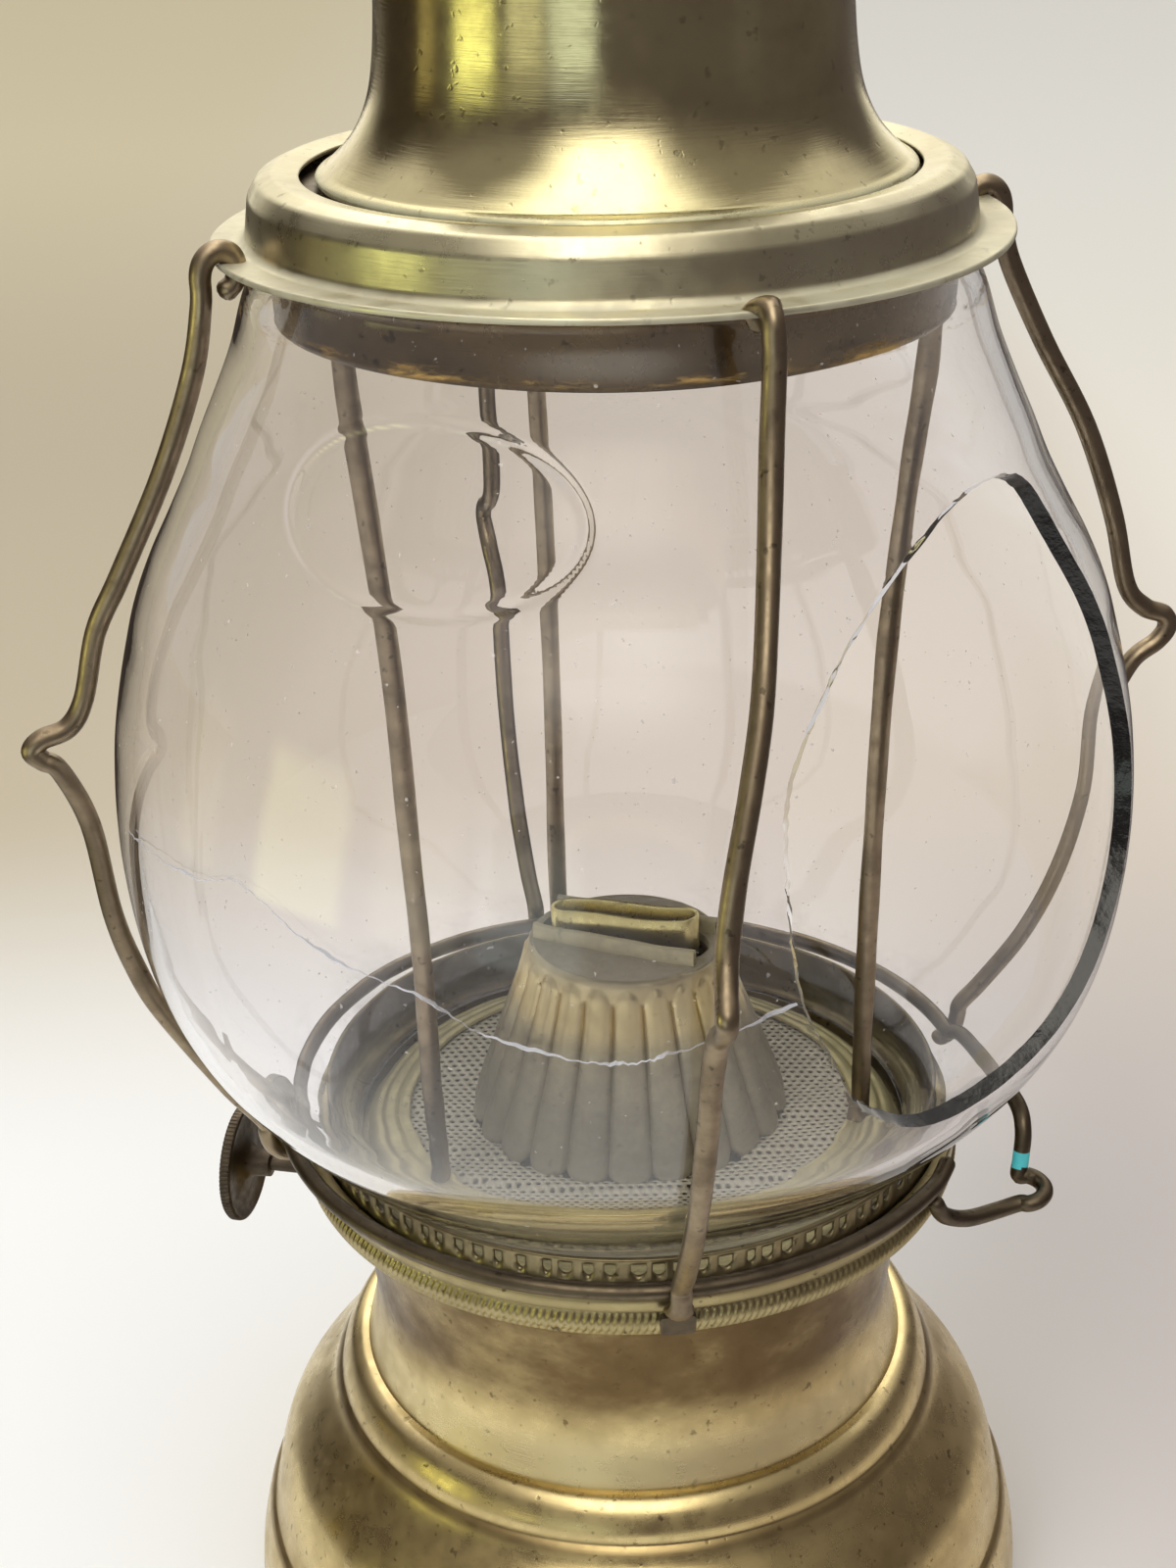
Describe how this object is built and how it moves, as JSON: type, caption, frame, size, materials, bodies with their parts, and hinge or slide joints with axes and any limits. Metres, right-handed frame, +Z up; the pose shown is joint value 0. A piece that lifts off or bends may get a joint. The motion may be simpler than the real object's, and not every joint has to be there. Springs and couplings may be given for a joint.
{
  "type": "ship lantern",
  "caption": "Brass ship lantern: bell-shaped oil font, fluted burner cone, ball glass globe with a broken side, spring wire guard, flanged collar and chimney hood.",
  "frame": {"origin": "centre of the foot, on the surface that the lantern stands on and on the axis of the turned parts", "axes": "+Z up, -Y towards the front, +X to the front view's right"},
  "size_m": [0.1699, 0.1691, 0.3107],
  "materials": {
    "bell_brass": "worn warm brass with brown specks",
    "drive_brass": "dull brown patina",
    "tube_brass": "bright thin sheet",
    "cone_brass": "dusty, heat dulled",
    "gallery_brass": "yellow spun brass",
    "tinned_plate": "tinned perforated sheet",
    "clear_glass": "clear, faint lilac",
    "collar_brass": "grey olive tarnish",
    "skirt_brass": "brown tarnish",
    "wire_brass": "dull olive wire",
    "dark_wire": "dark tarnished wire",
    "hood_brass": "brushed, dark brown patina",
    "cotton": "woven lamp wick"
  },
  "bodies": {
    "base": {"font_bell": "bell_brass", "base_plate": "bell_brass", "font_top": "bell_brass", "font_collar": "drive_brass", "burner_body": "drive_brass", "burner_deck": "drive_brass", "wick_tube": "tube_brass", "spindle_bush": "drive_brass"},
    "lock_ring": {"knurled_ring": "bell_brass"},
    "spindle": {"spindle_shaft": "drive_brass", "spur_wheel_inner": "drive_brass", "spur_wheel_outer": "drive_brass", "wick_knob": "drive_brass"},
    "wick_body": {"wick": "cotton"},
    "cone": {"burner_cone": "cone_brass", "slot_lip_front": "tube_brass", "slot_lip_rear": "tube_brass"},
    "cage": {"gallery_cup": "gallery_brass", "annulus_plate": "gallery_brass", "perforated_plate": "tinned_plate", "inner_rod_left": "wire_brass", "inner_rod_right": "wire_brass", "inner_rod_rear": "wire_brass", "glass_globe": "clear_glass", "collar_ring": "collar_brass", "inner_skirt": "skirt_brass", "guard_wire_front": "wire_brass", "guard_wire_left": "wire_brass", "guard_wire_right": "wire_brass", "guard_wire_rear": "wire_brass", "ring_wire": "dark_wire", "ring_clip": "dark_wire"},
    "clasp": {"clasp_wire": "dark_wire"},
    "hood": {"hood_shell": "hood_brass", "vent_crown": "hood_brass", "hood_cap": "hood_brass", "bail_ear_left": "hood_brass", "bail_ear_right": "hood_brass"},
    "bail_body": {"bail": "wire_brass"}
  },
  "joints": [
    {"name": "lock_turn", "type": "hinge", "parent": "base", "child": "lock_ring", "pos_m": [0, 0, 0.089], "axis": [0, 0, 1], "range_deg": [0, 30]},
    {"name": "knob_turn", "type": "hinge", "parent": "base", "child": "spindle", "pos_m": [0.0011, 0.00518, 0.0687], "axis": [-0.9781, 0.2079, 0], "range_deg": [-120, 120]},
    {"name": "wick_rise", "type": "slide", "parent": "base", "child": "wick_body", "axis": [0, 0, 1], "range_m": [-0.008, 0.008]},
    {"name": "cone_lift", "type": "slide", "parent": "base", "child": "cone", "axis": [0, 0, 1], "range_m": [0, 0.038]},
    {"name": "cage_lift", "type": "slide", "parent": "base", "child": "cage", "axis": [0, 0, 1], "range_m": [0, 0.045]},
    {"name": "clasp_swing", "type": "hinge", "parent": "cage", "child": "clasp", "pos_m": [0.0546, 0.0092, 0.0958], "axis": [0, 0, 1], "range_deg": [0, 26]},
    {"name": "hood_lift", "type": "slide", "parent": "cage", "child": "hood", "axis": [0, 0, 1], "range_m": [0, 0.03]},
    {"name": "bail_swing", "type": "hinge", "parent": "hood", "child": "bail_body", "pos_m": [0.0008, 0, 0.3073], "axis": [1, 0, 0], "range_deg": [0, 206]}
  ],
  "couplings": [
    {"joint": "wick_rise", "follows": "knob_turn", "m_per_rad": 0.0037}
  ]
}
